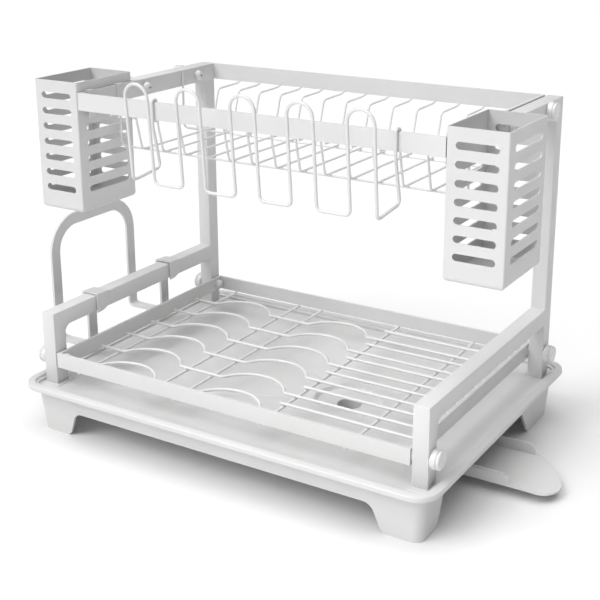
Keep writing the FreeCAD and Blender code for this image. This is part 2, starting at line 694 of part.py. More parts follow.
# ---------------------------------------------------------------- utensil holders
def slot(span, z, along):
    """Level cutter with round ends, as wide as the span; it pierces in the given direction."""
    r = SLOT_HEIGHT / 2
    half = along * (SLOT_CUTTER / 2)
    across = Vector(along.y, along.x, 0)
    ends = []
    for place in (span[0] + r, span[1] - r):
        ends.append(cylinder(across * place - half + UP * z, along, SLOT_CUTTER, r))
    low = across * (span[0] + r) - half
    high = across * (span[1] - r) + half
    middle = block((low.x, high.x), (low.y, high.y), (z - r, z + r))
    return middle.fuse(ends)


def slot_cutters():
    """Rows of slots through the four walls; the wall that faces the rack has fewer rows."""
    cutters = []
    for index in range(SLOTS):
        z = SLOT_TOP - SLOT_PITCH * index
        front_and_back = slot(SLOT_X, z, BACK)
        front_and_back.translate(Vector(0, (HOLDER_Y[0] + HOLDER_Y[1]) / 2, 0))
        sides = slot(SLOT_Y, z, Vector(1, 0, 0))
        outer_only = HOLDER_X[1] - 2 * HOLDER_WALL + SLOT_CUTTER / 2
        sides.translate(Vector(outer_only if index < INNER_SLOTS_SKIPPED else HOLDER_X[1], 0, 0))
        cutters += [front_and_back, sides]
    return cutters


def utensil_holder(side):
    """Open-topped box of pressed sheet with level slots."""
    outer = block(HOLDER_X, HOLDER_Y, HOLDER_Z)
    outer = outer.makeFillet(HOLDER_EDGE, edges_along(outer, UP))
    outer = outer.makeFillet(HOLDER_CORNER, edges_at_height(outer, HOLDER_Z[0]))
    inner_bottom = HOLDER_Z[0] + HOLDER_WALL
    inner = block(grown(HOLDER_X, -HOLDER_WALL), grown(HOLDER_Y, -HOLDER_WALL),
                  (inner_bottom, HOLDER_Z[1] + 1))
    inner = inner.makeFillet(HOLDER_CORNER - HOLDER_WALL, edges_at_height(inner, inner_bottom))
    return mirrored(outer.cut(inner).cut(slot_cutters()), side)


def holder_hooks(side):
    """Two flat hooks that carry a utensil holder on the side bar."""
    hooks = []
    top = UPPER_BAR_Z[1]
    bar_face = BAR_X - BAR - HOOK_PLAY
    tab_x = (bar_face - HOOK_THICKNESS, bar_face)
    for y, tip in zip(HOOK_Y, HOOK_TIP):
        over = block((tab_x[0], HOLDER_X[0]), y, (top, top + HOOK_THICKNESS))
        tab = block(tab_x, y, (tip, top + HOOK_THICKNESS))
        hooks.append(mirrored(over.fuse(tab).removeSplitter(), side))
    return Part.makeCompound(hooks)


# ---------------------------------------------------------------- cutting board holder
def strip_outline(points, radii, place):
    """Face of a bent strip of constant thickness, seen edge on; place() turns (u, z) into a point."""
    def shifted(amount):
        result = []
        for index, point in enumerate(points):
            before = points[max(index - 1, 0)]
            after = points[min(index + 1, len(points) - 1)]
            normals = []
            for start, end in ((before, point), (point, after)):
                run = (end[0] - start[0], end[1] - start[1])
                length = math.hypot(*run)
                if length:
                    normals.append((-run[1] / length, run[0] / length))
            nx = sum(n[0] for n in normals) / len(normals)
            nz = sum(n[1] for n in normals) / len(normals)
            scale = amount / (nx * nx + nz * nz)
            result.append((point[0] + nx * scale, point[1] + nz * scale))
        return result

    def side_edges(amount):
        turned = []
        for before, point, after, radius in zip(points, points[1:], points[2:], radii):
            cross = ((point[0] - before[0]) * (after[1] - point[1])
                     - (point[1] - before[1]) * (after[0] - point[0]))
            turned.append(radius - amount if cross > 0 else radius + amount)
        return [place(*point) for point in shifted(amount)], turned

    one, one_radii = side_edges(STRIP / 2)
    other, other_radii = side_edges(-STRIP / 2)
    edges = rounded_path(one, one_radii)
    back = rounded_path(other[::-1], other_radii[::-1])
    return filled(edges + [line(one[-1], other[-1])] + back + [line(other[0], one[0])])


def arch_plate(y, z, radius):
    """Plate of the strip's thickness whose two top corners are round."""
    low = ARCH_X - STRIP / 2
    points = [Vector(low, y[0], z[0]), Vector(low, y[0], z[1]),
              Vector(low, y[1], z[1]), Vector(low, y[1], z[0])]
    edges = rounded_path(points, [radius, radius])
    edges.append(line(points[-1], points[0]))
    return filled(edges).extrude(Vector(STRIP, 0, 0))


def leg_fronts():
    """Front edge of each of the two strips."""
    return (ARCH_Y[0], ARCH_Y[1] - STRIP_WIDTH)


def board_holder():
    """Arch that a board leans on, with its two feet turned in and up to the clips."""
    base_z = ARCH_BOTTOM + STRIP / 2
    bend_z = base_z + FOOT_BEND
    outer = arch_plate(ARCH_Y, (bend_z, ARCH_TOP), ARCH_R)
    inner = arch_plate(grown(ARCH_Y, -STRIP_WIDTH), (0, ARCH_TOP - STRIP_WIDTH), ARCH_R - STRIP_WIDTH)
    holder = outer.cut(inner)
    leg = [(ARCH_X, bend_z), (ARCH_X, base_z), (INNER_LEG_X, base_z), (INNER_LEG_X, LEG_TOP)]
    for front in leg_fronts():
        face = strip_outline(leg, [FOOT_BEND, HEEL_BEND], lambda x, z: Vector(x, front, z))
        holder = holder.fuse(face.extrude(Vector(0, STRIP_WIDTH, 0)))
    return holder.removeSplitter()


def clip_section(y, wall, gap):
    """Closed outline of a clip across the rail: outside wall, top and inner lip."""
    outside = INNER_LEG_X - STRIP / 2
    rail_outer = -(FRAME_X + TUBE_X) - CLIP_SIDE_GAP
    inner = -FRAME_X + gap
    under = FRONT_POST_TOP + gap
    top = under + wall
    over = [(outside, LEG_TOP), (outside, top), (inner + wall, top), (inner + wall, CLIP_LIP_BOTTOM)]
    back = [(inner, CLIP_LIP_BOTTOM), (inner, under), (rail_outer, under), (rail_outer, LEG_TOP)]
    crest = [Vector(x, y, z) for x, z in over]
    corners = [crest[-1]] + [Vector(x, y, z) for x, z in back] + [crest[0]]
    edges = rounded_path(crest, [CLIP_CREST] * 2)
    edges += [line(start, end) for start, end in zip(corners, corners[1:])]
    return Part.Wire(edges)


def board_holder_clips():
    """Saddles over the left rail, one at the top of each inner leg, slightly open at their front edge."""
    clips = []
    for leg_front in leg_fronts():
        y = (leg_front - CLIP_FRONT, leg_front + STRIP_WIDTH)
        sections = [clip_section(y[i], CLIP_WALL[i], CLIP_GAP[i]) for i in (0, 1)]
        clips.append(Part.makeLoft(sections, True, True).cut(below_lip(y)))
    return Part.makeCompound(clips)


def below_lip(y):
    """Cutter under the inner lip, which is deepest in front and rises in an S to its back."""
    length = y[1] - y[0]
    shape = ((0.0, 0.0), (0.3, 0.1), (0.65, 0.4), (0.9, 0.9), (1.0, 1.0))   # shares of length and rise
    x = -FRAME_X - 1
    points = [Vector(x, y[0] + length * along, CLIP_LIP_BOTTOM + CLIP_LIP_RISE * up) for along, up in shape]
    curve = Part.BSplineCurve()
    curve.interpolate(points)
    low = CLIP_LIP_BOTTOM - 1
    corners = [points[-1], Vector(x, y[1], low), Vector(x, y[0], low), points[0]]
    edges = [curve.toShape()] + [line(start, end) for start, end in zip(corners, corners[1:])]
    return filled(edges).extrude(Vector(5, 0, 0))


# ---------------------------------------------------------------- fasteners
def turned(profile, y, z, side):
    """Solid of revolution about an X axis; the profile is (distance out from mid-plane, radius)."""
    points = [Vector(side * x, y, z + r) for x, r in profile]
    face = Part.Face(Part.makePolygon(points + points[:1]))
    return face.revolve(Vector(0, y, z), Vector(1, 0, 0), 360)


def knob_bolts(bolts):
    """Bolts with a round knob against the outside of the frame."""
    face = FRAME_X + TUBE_X
    tip = BAR_X - BAR - BOLT_END
    shaft = [(tip, 0), (tip, BOLT_R), (face, BOLT_R)]
    knob = [(face + out, radius) for out, radius in KNOB_OUTLINE]
    profile = shaft + knob + [(knob[-1][0], 0)]
    return Part.makeCompound([turned(profile, y, z, side) for side in (-1, 1) for y, z in bolts])


def dome_nuts(bolts):
    """Domed nuts against the inside of the side bars, each with a small vent at its tip."""
    face = BAR_X - BAR
    dome = [(face - out, radius) for out, radius in NUT_OUTLINE]
    tip = dome[-1][0]
    bore_end = tip + NUT_WALL
    bore = [(tip, NUT_VENT_R), (bore_end, NUT_VENT_R), (bore_end, NUT_BORE_R), (face, NUT_BORE_R)]
    return Part.makeCompound([turned(dome + bore, y, z, side) for side in (-1, 1) for y, z in bolts])


def bolt_washers():
    """Washers that fill the gap between the side bars and the frames."""
    washers = []
    for side in (-1, 1):
        for y, z in LOWER_BOLTS + UPPER_BOLTS:
            start = Vector(side * BAR_X, y, z)
            disc = cylinder(start, Vector(side, 0, 0), FRAME_X - BAR_X, WASHER_R)
            washers.append(bolt_holes(disc, [(y, z)], side))
    return Part.makeCompound(washers)


# ---------------------------------------------------------------- assembly
def all_nodes():
    nodes = {"drip_tray": drip_tray(), "drain_spout": drain_spout()}
    for name, side in SIDES:
        nodes.update(side_frame(name, side))
        nodes[name + "_utensil_holder"] = utensil_holder(side)
        nodes[name + "_holder_hooks"] = holder_hooks(side)
    nodes["post_foot_caps"] = post_foot_caps()
    nodes["arm_end_caps"] = arm_end_caps()
    nodes.update(bar_frame("lower", LOWER_BAR_Y, LOWER_BAR_Z, LOWER_BOLTS))
    nodes.update(bar_frame("upper", UPPER_BAR_Y, UPPER_BAR_Z, UPPER_BOLTS))
    nodes["lower_cross_wires"] = lower_cross_wires()
    nodes["plate_wires"] = plate_wires()
    nodes["short_wires"] = short_wires()
    nodes["basket_ribs"] = basket_ribs()
    nodes["basket_runners"] = basket_runners()
    nodes["cup_holder"] = cup_holder()
    nodes["board_holder"] = board_holder()
    nodes["board_holder_clips"] = board_holder_clips()
    nodes["lower_knob_bolts"] = knob_bolts(LOWER_BOLTS)
    nodes["upper_knob_bolts"] = knob_bolts(UPPER_BOLTS)
    nodes["lower_dome_nuts"] = dome_nuts(LOWER_BOLTS)
    nodes["upper_dome_nuts"] = dome_nuts(UPPER_BOLTS)
    nodes["bolt_washers"] = bolt_washers()
    return nodes


os.makedirs("parts", exist_ok=True)
for node, shape in all_nodes().items():
    placed = shape.translated(-ORIGIN)
    placed.exportStep("parts/" + node + ".step")
    box = placed.BoundBox
    print(node, placed.isValid(), len(placed.Solids), round(placed.Volume),
          [round(v, 2) for v in (box.XMin, box.XMax, box.YMin, box.YMax, box.ZMin, box.ZMax)])
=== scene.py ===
import json
import math

import bmesh
import bpy
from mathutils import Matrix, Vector


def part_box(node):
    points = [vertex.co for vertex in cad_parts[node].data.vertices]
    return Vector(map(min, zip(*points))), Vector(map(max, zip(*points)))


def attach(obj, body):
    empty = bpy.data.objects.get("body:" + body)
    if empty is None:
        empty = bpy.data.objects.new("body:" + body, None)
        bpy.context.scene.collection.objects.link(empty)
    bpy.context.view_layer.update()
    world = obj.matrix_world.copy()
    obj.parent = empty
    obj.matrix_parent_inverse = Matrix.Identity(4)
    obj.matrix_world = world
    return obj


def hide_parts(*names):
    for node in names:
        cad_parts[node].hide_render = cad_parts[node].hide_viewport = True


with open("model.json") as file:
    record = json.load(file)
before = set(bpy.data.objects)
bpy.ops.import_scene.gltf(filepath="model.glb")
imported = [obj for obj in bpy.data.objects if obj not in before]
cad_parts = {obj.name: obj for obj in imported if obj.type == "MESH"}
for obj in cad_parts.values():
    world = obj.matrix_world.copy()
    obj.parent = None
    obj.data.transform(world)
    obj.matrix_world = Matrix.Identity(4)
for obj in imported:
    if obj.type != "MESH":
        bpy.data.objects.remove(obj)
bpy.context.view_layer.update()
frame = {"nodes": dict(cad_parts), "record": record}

MM = 0.001
NODES = frame["nodes"]


# ---------------------------------------------------------------- adding to the scene
def add_object(name, data):
    """Object of that data, put into the scene."""
    thing = bpy.data.objects.new(name, data)
    bpy.context.scene.collection.objects.link(thing)
    return thing


def add_mesh(name, bm, material):
    """Object with one material made from a finished mesh."""
    mesh = bpy.data.meshes.new(name)
    bm.to_mesh(mesh)
    bm.free()
    mesh.materials.append(material)
    return add_object(name, mesh)


# ---------------------------------------------------------------- camera, floor, light
# Places, sizes and distances in metres
CAMERA_PLACE = (0.5604, -0.9132, 0.5266)
CAMERA_YAW = math.radians(31.46)
CAMERA_PITCH = math.radians(16.46)
CAMERA_ROLL = math.radians(0.13)
CAMERA_LENS = 69.92                       # this and the sensor's width in millimetres
CAMERA_SENSOR = 36.0
CAMERA_SHIFT = (-0.0132, -0.1302)         # shares of the sensor's width
CAMERA_CLIP = (0.05, 30.0)
STAGE_FLAT = 12.0                         # radius of the floor's level middle
STAGE_SWEEP = 2.0                         # radius of the curve by which it turns up
STAGE_SWEEP_STEPS = 8
STAGE_SIDES = 64
STAGE_ALBEDO = 0.76
STAGE_ROUGHNESS = 0.9
WORLD_STRENGTH = 0.06
KEY_LIGHT = {"direction": (-0.5, -0.9, 0.9), "strength": 2.0, "angle": 40}
TOP_LIGHT = {"direction": (0.0, 0.0, 1.0), "strength": 2.75, "angle": 76}
FILL_LIGHT = {"place": (0.28, -0.95, 0.4), "target": (-0.15, 0.0, 0.15), "size": 0.7, "power": 2.2}


def make_camera():
    """Camera that sees the object as the photograph does."""
    data = bpy.data.cameras.new("camera")
    data.lens = CAMERA_LENS
    data.sensor_width = CAMERA_SENSOR
    data.shift_x, data.shift_y = CAMERA_SHIFT
    data.clip_start, data.clip_end = CAMERA_CLIP
    camera = add_object("camera", data)
    camera.location = CAMERA_PLACE
    camera.rotation_euler = (math.pi / 2 - CAMERA_PITCH, CAMERA_ROLL, CAMERA_YAW)
    bpy.context.scene.camera = camera


def make_floor():
    """Flat floor that sweeps up far away, so that low views end on it too."""
    profile = [(STAGE_FLAT / 2, 0.0), (STAGE_FLAT, 0.0)]
    for step in range(1, STAGE_SWEEP_STEPS + 1):
        turn = math.pi / 2 * step / STAGE_SWEEP_STEPS
        profile.append((STAGE_FLAT + STAGE_SWEEP * math.sin(turn),
                        STAGE_SWEEP * (1 - math.cos(turn))))
    bm = bmesh.new()
    middle = bm.verts.new((0, 0, 0))
    turns = [2 * math.pi * step / STAGE_SIDES for step in range(STAGE_SIDES)]
    rings = [[bm.verts.new((radius * math.cos(turn), radius * math.sin(turn), z)) for turn in turns]
             for radius, z in profile]
    for step in range(STAGE_SIDES):
        after = (step + 1) % STAGE_SIDES
        bm.faces.new((middle, rings[0][step], rings[0][after]))
        for inner, outer in zip(rings, rings[1:]):
            bm.faces.new((inner[step], outer[step], outer[after], inner[after]))
    for face in bm.faces:
        face.smooth = True
    material = bpy.data.materials.new("floor")
    material.use_nodes = True
    shader = material.node_tree.nodes["Principled BSDF"]
    shader.inputs["Base Color"].default_value = (STAGE_ALBEDO, STAGE_ALBEDO, STAGE_ALBEDO, 1)
    shader.inputs["Roughness"].default_value = STAGE_ROUGHNESS
    floor = add_mesh("floor", bm, material)


def soft_sun(name, direction, strength, angle):
    """Light from one side of the sky, as wide as the angle in degrees; direction points to it."""
    data = bpy.data.lights.new(name, "SUN")
    data.energy = strength
    data.angle = math.radians(angle)
    light = add_object(name, data)
    light.rotation_euler = Vector(direction).to_track_quat("Z", "Y").to_euler()


def near_light(name, place, target, size, power):
    """Square soft box of that side and power in watts, close to the object."""
    data = bpy.data.lights.new(name, "AREA")
    data.shape = "SQUARE"
    data.size = size
    data.energy = power
    light = add_object(name, data)
    light.location = place
    light.rotation_euler = (Vector(place) - Vector(target)).to_track_quat("Z", "Y").to_euler()


def make_light():
    """Even studio light from above and in front, on a faint white surround."""
    world = bpy.data.worlds.new("studio")
    bpy.context.scene.world = world
    world.use_nodes = True
    surround = world.node_tree.nodes["Background"]
    surround.inputs["Color"].default_value = (1, 1, 1, 1)
    surround.inputs["Strength"].default_value = WORLD_STRENGTH
    soft_sun("key", **KEY_LIGHT)
    soft_sun("top", **TOP_LIGHT)
    near_light("fill", **FILL_LIGHT)
    bpy.context.scene.view_settings.view_transform = "Standard"


# ---------------------------------------------------------------- materials
NOISE_RANGE = (0.3, 0.7)                  # where most of a noise lies
MOTTLING_SCALE, MOTTLING_DETAIL = 22.0, 3.0
MOTTLING_DARK = (0.985, 0.983, 0.978)     # shares of the tone in red, green and blue
MOTTLING_LIGHT = (1.012, 1.013, 1.013)
GLOSS_SCALE, GLOSS_DETAIL = 65.0, 4.0
GLOSS_CHANGE = (-0.05, 0.06)              # added to a finish's roughness
BUMP_DETAIL = 2.0
COAT_ROUGHNESS = 0.25
IOR = 1.5


def noise(tree, coordinates, scale, detail):
    """Noise texture's value output; scale is in features per metre."""
    node = tree.nodes.new("ShaderNodeTexNoise")
    node.inputs["Scale"].default_value = scale
    node.inputs["Detail"].default_value = detail
    tree.links.new(coordinates, node.inputs["Vector"])
    return node.outputs["Fac"]


def spread(tree, value, low, high):
    """Value stretched from NOISE_RANGE over low..high."""
    node = tree.nodes.new("ShaderNodeMapRange")
    ends = zip(("From Min", "From Max", "To Min", "To Max"), (*NOISE_RANGE, low, high))
    for end, place in ends:
        node.inputs[end].default_value = place
    tree.links.new(value, node.inputs["Value"])
    return node.outputs["Result"]


def bump(tree, height, distance, below=None):
    """Normal raised by a height texture, over another normal where there is one."""
    node = tree.nodes.new("ShaderNodeBump")
    node.inputs["Strength"].default_value = 1.0
    node.inputs["Distance"].default_value = distance
    tree.links.new(height, node.inputs["Height"])
    if below:
        tree.links.new(below, node.inputs["Normal"])
    return node.outputs["Normal"]


def coating(name, tone, roughness, grain, height, ripple, ripple_height, coat):
    """White finish: a fine grain and a slow ripple in the surface, with faint mottling.

    Grain and ripple are in features per metre, the two heights in metres."""
    material = bpy.data.materials.new(name)
    material.use_nodes = True
    tree = material.node_tree
    shader = tree.nodes["Principled BSDF"]
    place = tree.nodes.new("ShaderNodeTexCoord").outputs["Object"]

    mottling = spread(tree, noise(tree, place, MOTTLING_SCALE, MOTTLING_DETAIL), 0.0, 1.0)
    colour = tree.nodes.new("ShaderNodeMix")
    colour.data_type = "RGBA"
    colour.inputs["A"].default_value = (*(tone * share for share in MOTTLING_DARK), 1)
    colour.inputs["B"].default_value = (*(tone * share for share in MOTTLING_LIGHT), 1)
    tree.links.new(mottling, colour.inputs["Factor"])
    tree.links.new(colour.outputs["Result"], shader.inputs["Base Color"])

    smoothest, roughest = (roughness + change for change in GLOSS_CHANGE)
    gloss = spread(tree, noise(tree, place, GLOSS_SCALE, GLOSS_DETAIL), smoothest, roughest)
    tree.links.new(gloss, shader.inputs["Roughness"])

    slow = bump(tree, noise(tree, place, ripple, BUMP_DETAIL), ripple_height)
    fine = bump(tree, noise(tree, place, grain, BUMP_DETAIL), height, slow)
    tree.links.new(fine, shader.inputs["Normal"])

    shader.inputs["Coat Weight"].default_value = coat
    shader.inputs["Coat Roughness"].default_value = COAT_ROUGHNESS
    shader.inputs["IOR"].default_value = IOR
    return material


POWDER = {"roughness": 0.5, "grain": 1500.0, "height": 0.00004,
          "ripple": 340.0, "ripple_height": 0.00006, "coat": 0.0}
DIPPED = {"roughness": 0.36, "grain": 900.0, "height": 0.00001,
          "ripple": 160.0, "ripple_height": 0.00005, "coat": 0.15}
MOULDED = {"roughness": 0.38, "grain": 2200.0, "height": 0.00002,
           "ripple": 45.0, "ripple_height": 0.00012, "coat": 0.0}
GLOSSY = {"roughness": 0.28, "grain": 700.0, "height": 0.00001,
          "ripple": 110.0, "ripple_height": 0.00003, "coat": 0.3}
# Tone and finish of each material slot
FINISHES = {
    "frame_paint": (0.61, POWDER),
    "bar_paint": (0.62, POWDER),
    "holder_paint": (0.59, POWDER),
    "board_holder_paint": (0.62, POWDER),
    "wire_coating": (0.66, DIPPED),
    "cup_wire_coating": (0.62, DIPPED),
    "tray_plastic": (0.59, MOULDED),
    "spout_plastic": (0.63, MOULDED),
    "cap_plastic": (0.56, MOULDED),
    "fastener_plastic": (0.64, GLOSSY),
}
MATERIALS = {slot: coating(slot, tone, **finish) for slot, (tone, finish) in FINISHES.items()}


# ---------------------------------------------------------------- shading of edges
SMOOTH_ANGLE = math.radians(32)
BEVEL_ANGLE = math.radians(40)
BEVEL_SEGMENTS = 2


def smooth_group():
    """Geometry nodes that shade faces smooth except across edges sharper than SMOOTH_ANGLE."""
    tree = bpy.data.node_groups.new("smooth_by_angle", "GeometryNodeTree")
    tree.interface.new_socket("Geometry", in_out="INPUT", socket_type="NodeSocketGeometry")
    tree.interface.new_socket("Geometry", in_out="OUTPUT", socket_type="NodeSocketGeometry")
    start = tree.nodes.new("NodeGroupInput")
    end = tree.nodes.new("NodeGroupOutput")
    faces = tree.nodes.new("GeometryNodeSetShadeSmooth")
    faces.domain = "FACE"
    edges = tree.nodes.new("GeometryNodeSetShadeSmooth")
    edges.domain = "EDGE"
    angle = tree.nodes.new("GeometryNodeInputMeshEdgeAngle")
    compare = tree.nodes.new("FunctionNodeCompare")
    compare.operation = "LESS_THAN"
    compare.inputs["B"].default_value = SMOOTH_ANGLE
    tree.links.new(start.outputs[0], faces.inputs["Geometry"])
    tree.links.new(faces.outputs[0], edges.inputs["Geometry"])
    tree.links.new(angle.outputs["Unsigned Angle"], compare.inputs["A"])
    tree.links.new(compare.outputs["Result"], edges.inputs["Shade Smooth"])
    tree.links.new(edges.outputs[0], end.inputs[0])
    return tree


SMOOTH = smooth_group()


def soften(thing, radius):
    """Rounds the sharp edges by a small radius, if there is one, and shades the rest smooth."""
    if radius:
        bevel = thing.modifiers.new("edges", "BEVEL")
        bevel.width = radius
        bevel.segments = BEVEL_SEGMENTS
        bevel.limit_method = "ANGLE"
        bevel.angle_limit = BEVEL_ANGLE
    smooth = thing.modifiers.new("smooth", "NODES")
    smooth.node_group = SMOOTH


def add_piece(name, bm, body, slot, replaced, edge_radius=0.0):
    """Finished mesh as a piece of the model, riding on a body in place of CAD nodes."""
    bmesh.ops.recalc_face_normals(bm, faces=bm.faces)
    piece = add_mesh(name, bm, MATERIALS[slot])
    soften(piece, edge_radius)
    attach(piece, body)
    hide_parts(*replaced)


def add_rings(bm, rings, closed):
    """Quads between neighbouring rings of as many points each, in millimetres.

    closed also joins the last ring to the first. The rings' vertices come back."""
    rows = [[bm.verts.new(Vector(point) * MM) for point in ring] for ring in rings]
    pairs = list(zip(rows, rows[1:]))
    if closed:
        pairs.append((rows[-1], rows[0]))
    for low, high in pairs:
        for index in range(len(low)):
            after = (index + 1) % len(low)
            bm.faces.new((low[index], low[after], high[after], high[index]))
    return rows


# ---------------------------------------------------------------- CAD nodes that stay
# Radius of the sharp edges in millimetres, by the end of the node's name; the others have none
EDGE_RADII = {"_utensil_holder": 0.3, "_holder_hooks": 0.3, "board_holder": 0.5, "drain_spout": 0.3}


def finish_cad_nodes():
    """Gives every CAD node the finish of its slot and soft edges."""
    slots = {part["node"]: part["material_slot"] for part in frame["record"]["subparts"]}
    for name, node in NODES.items():
        node.data.materials.clear()
        node.data.materials.append(MATERIALS[slots[name]])
        radius = next((value for ending, value in EDGE_RADII.items() if name.endswith(ending)), 0.0)
        soften(node, radius * MM)


# ---------------------------------------------------------------- side frames
# Tube frame seen from the side, in millimetres: front post, rail, back post and arm
FRAME_OUTLINE = ((-137.4, 47.2), (-137.4, 119.5), (121.6, 119.5), (121.6, 312.7), (-2.2, 312.7),
                 (-2.2, 329.0), (137.6, 329.0), (137.6, 47.2), (121.6, 47.2), (121.6, 103.0))
FRAME_BEND = (-113.4, 95.0, 8.0)          # middle of the bend under the rail, and its radius
FRAME_BEND_STEPS = 8
FRAME_EDGE = 0.7


def frame_outline():
    """Outline with the bend under the rail and the front post's back edge added."""
    y, z, radius = FRAME_BEND
    outline = list(FRAME_OUTLINE)
    for step in range(FRAME_BEND_STEPS + 1):
        turn = math.pi / 2 * (1 + step / FRAME_BEND_STEPS)
        outline.append((y + radius * math.cos(turn), z + radius * math.sin(turn)))
    outline.append((y - radius, FRAME_OUTLINE[0][1]))
    return outline


def make_side_frames():
    """One smooth frame a side, its tubes welded and ground flush."""
    outline = frame_outline()
    for side in ("left", "right"):
        low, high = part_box(side + "_rail")
        bm = bmesh.new()
        rings = [[(x / MM, y, z) for y, z in outline] for x in (low[0], high[0])]
        rows = add_rings(bm, rings, False)
        for row in rows:
            bm.faces.new(row)
        nodes = [side + ending for ending in ("_front_post", "_rail", "_back_post", "_arm")]
        add_piece(side + "_side_frame", bm, "rack", "frame_paint", nodes, FRAME_EDGE * MM)


# ---------------------------------------------------------------- drip tray
# Millimetres about the tray's own middle; heights from the ground
TRAY_MIDDLE = Vector((-11.0, 0.0))
DRAIN = Vector((59.0, 0.1))
RIM_HALF = (223.5, 162.1)
RIM_R = 22.0
SKIRT_HALF = (213.0, 150.5)
SKIRT_R = 9.0
SKIRT_LEAN = 4.0                          # how far it leans inwards down to the ground
SKIRT_WALL = 2.6
LIP_TOP = 48.5                            # where the skirt meets the rim
FLOOR_EDGE = 46.0
FLOOR_FALL = 10.4                         # from its edge to the middle of the drain
FLOOR_WALL = 2.5
FLOOR_INSET = 12.3                        # of its edge from the rim's outer edge
FLOOR_R, UNDERSIDE_R = 35.0, 37.5         # where the floor and its underside start at the drain
FLOOR_SHARES = (0.0, 0.004, 0.2, 0.4, 0.6, 0.8, 0.99, 1.0)
UNDERSIDE_SHARES = (0.9, 0.6, 0.3, 0.0)
CREASE = 0.35                             # depth of the fold line from each corner to the drain
CREASE_END = 0.99                         # share of the way from the drain where it stops
# Each opening between two feet: its height, the foot's edge there and at the ground, its radius
FRONT_GAP = (26.2, 164.6, 176.5, 12.0)
SIDE_GAP_FRONT = (43.5, 107.4, 117.4, 12.0)
SIDE_GAP_BACK = (43.5, 57.6, 95.6, 12.0)
FOOT_CORNER = 8.0                         # radius at the ground
# Stretches of the front and of the right side where the lower edge bends
FRONT_BENDS = ((-183.0, -155.0), (155.0, 183.0))
SIDE_BENDS = ((-125.0, -96.0), (46.0, 102.0))
SIDE_STEPS = 24
BEND_STEPS = 20
SKIRT_SHARES = (0.0, 0.04, 0.25, 0.5, 0.75, 0.97, 1.0)
SKIRT_BACK_SHARES = (1.0, 0.97, 0.5, 0.0)
# Radius about the drain and height: the recess from the hole up to the floor, the neck under it
RECESS = ((12.0, 31.0), (12.8, 31.3), (31.0, 32.4), (32.2, 32.7), (33.0, 33.4), (34.1, 36.2))
OUTLET = ((37.5, 28.5), (17.1, 28.5), (17.1, 21.2), (14.1, 21.2), (14.1, 18.8), (16.0, 18.8),
          (14.8, 16.8), (12.0, 16.8))
# Depth inwards from the rim's outer edge and height, from the floor over the rim to the skirt
RIM_OUTLINE = ((11.0, 46.15), (9.9, 46.6), (8.9, 47.4), (8.1, 48.4), (7.65, 49.5), (7.45, 50.3),
               (7.2, 50.75), (6.8, 51.0), (1.2, 51.0), (0.5, 50.85), (0.15, 50.5), (0.0, 50.0),
               (0.0, 46.5), (0.1, 46.15), (0.4, 46.0), (2.1, 46.0), (2.4, 46.2), (2.5, 46.7),
               (2.5, LIP_TOP))
PADS_X = (-202.0, 202.0)
PADS_Y = (-129.4, 129.6)
# Half width, corner radius and height of each ring of a pad
PAD_OUTLINE = ((11.0, 4.0, 41.0), (11.0, 4.0, FLOOR_EDGE - 0.3), (10.7, 3.7, FLOOR_EDGE))
PAD_LONGER = 3.0                          # its half length less its half width
PAD_STEPS = 5
CORNER_STEPS = 10
# For each side from the front round to the left: the way along it and the way out of the tray
SIDE_DIRECTIONS = ((Vector((1, 0)), Vector((0, -1))), (Vector((0, 1)), Vector((1, 0))),
                   (Vector((-1, 0)), Vector((0, 1))), (Vector((0, -1)), Vector((-1, 0))))


def gap_height(distance, gap):
    """Height of the skirt's lower edge at a distance from the middle of the opening."""
    top, edge_top, edge_foot, radius = gap
    slope = math.atan2(top, edge_foot - edge_top)
    reach = radius * math.tan(slope / 2)
    ground_reach = FOOT_CORNER * math.tan(slope / 2)
    if distance <= edge_top - reach:
        return top
    if distance >= edge_foot + ground_reach:
        return 0.0
    if distance <= edge_top + reach * math.cos(slope):
        return top - radius + math.sqrt(radius ** 2 - (distance - edge_top + reach) ** 2)
    if distance >= edge_foot - ground_reach * math.cos(slope):
        past_edge = distance - edge_foot - ground_reach
        return FOOT_CORNER - math.sqrt(FOOT_CORNER ** 2 - past_edge ** 2)
    return (edge_foot - distance) * math.tan(slope)


def shares_along(length, zones):
    """Places along a straight side as shares of its half length, closer together in the zones."""
    places = {round(-length + 2 * length * step / SIDE_STEPS, 3)
              for step in range(SIDE_STEPS + 1)}
    for low, high in zones:
        places = {place for place in places if not low < place < high}
        places |= {round(low + (high - low) * step / BEND_STEPS, 3)
                   for step in range(BEND_STEPS + 1)}
    return [place / length for place in sorted(places)]


def tray_columns():
    """Columns of the tray's mesh as (side, share along it, turn round the corner after it)."""
    front = shares_along(SKIRT_HALF[0] - SKIRT_R, FRONT_BENDS)
    right = shares_along(SKIRT_HALF[1] - SKIRT_R, SIDE_BENDS)
    left = [-share for share in reversed(right)]
    corner_turns = [math.pi / 2 * step / CORNER_STEPS for step in range(1, CORNER_STEPS)]
    columns = []
    for side, shares in enumerate((front, right, front, left)):
        columns += [(side, share, 0.0) for share in shares]
        columns += [(side, 1.0, turn) for turn in corner_turns]
    return columns


def column_place(column, half, radius):
    """Where a column meets a rounded rectangle of that half size and corner radius."""
    side, share, turn = column
    along, out = SIDE_DIRECTIONS[side]
    centre = along * share * (half[side % 2] - radius) + out * (half[1 - side % 2] - radius)
    return centre + (out * math.cos(turn) + along * math.sin(turn)) * radius


def foot_height(column):
    """Height of the skirt's lower edge in one column; the feet stand at the corners."""
    side, share, turn = column
    if turn:
        return 0.0
    place = share * (SKIRT_HALF[side % 2] - SKIRT_R)
    if side % 2 == 0:
        return gap_height(abs(place), FRONT_GAP)
    towards_back = place if side == 1 else -place
    return gap_height(abs(place), SIDE_GAP_BACK if towards_back > 0 else SIDE_GAP_FRONT)


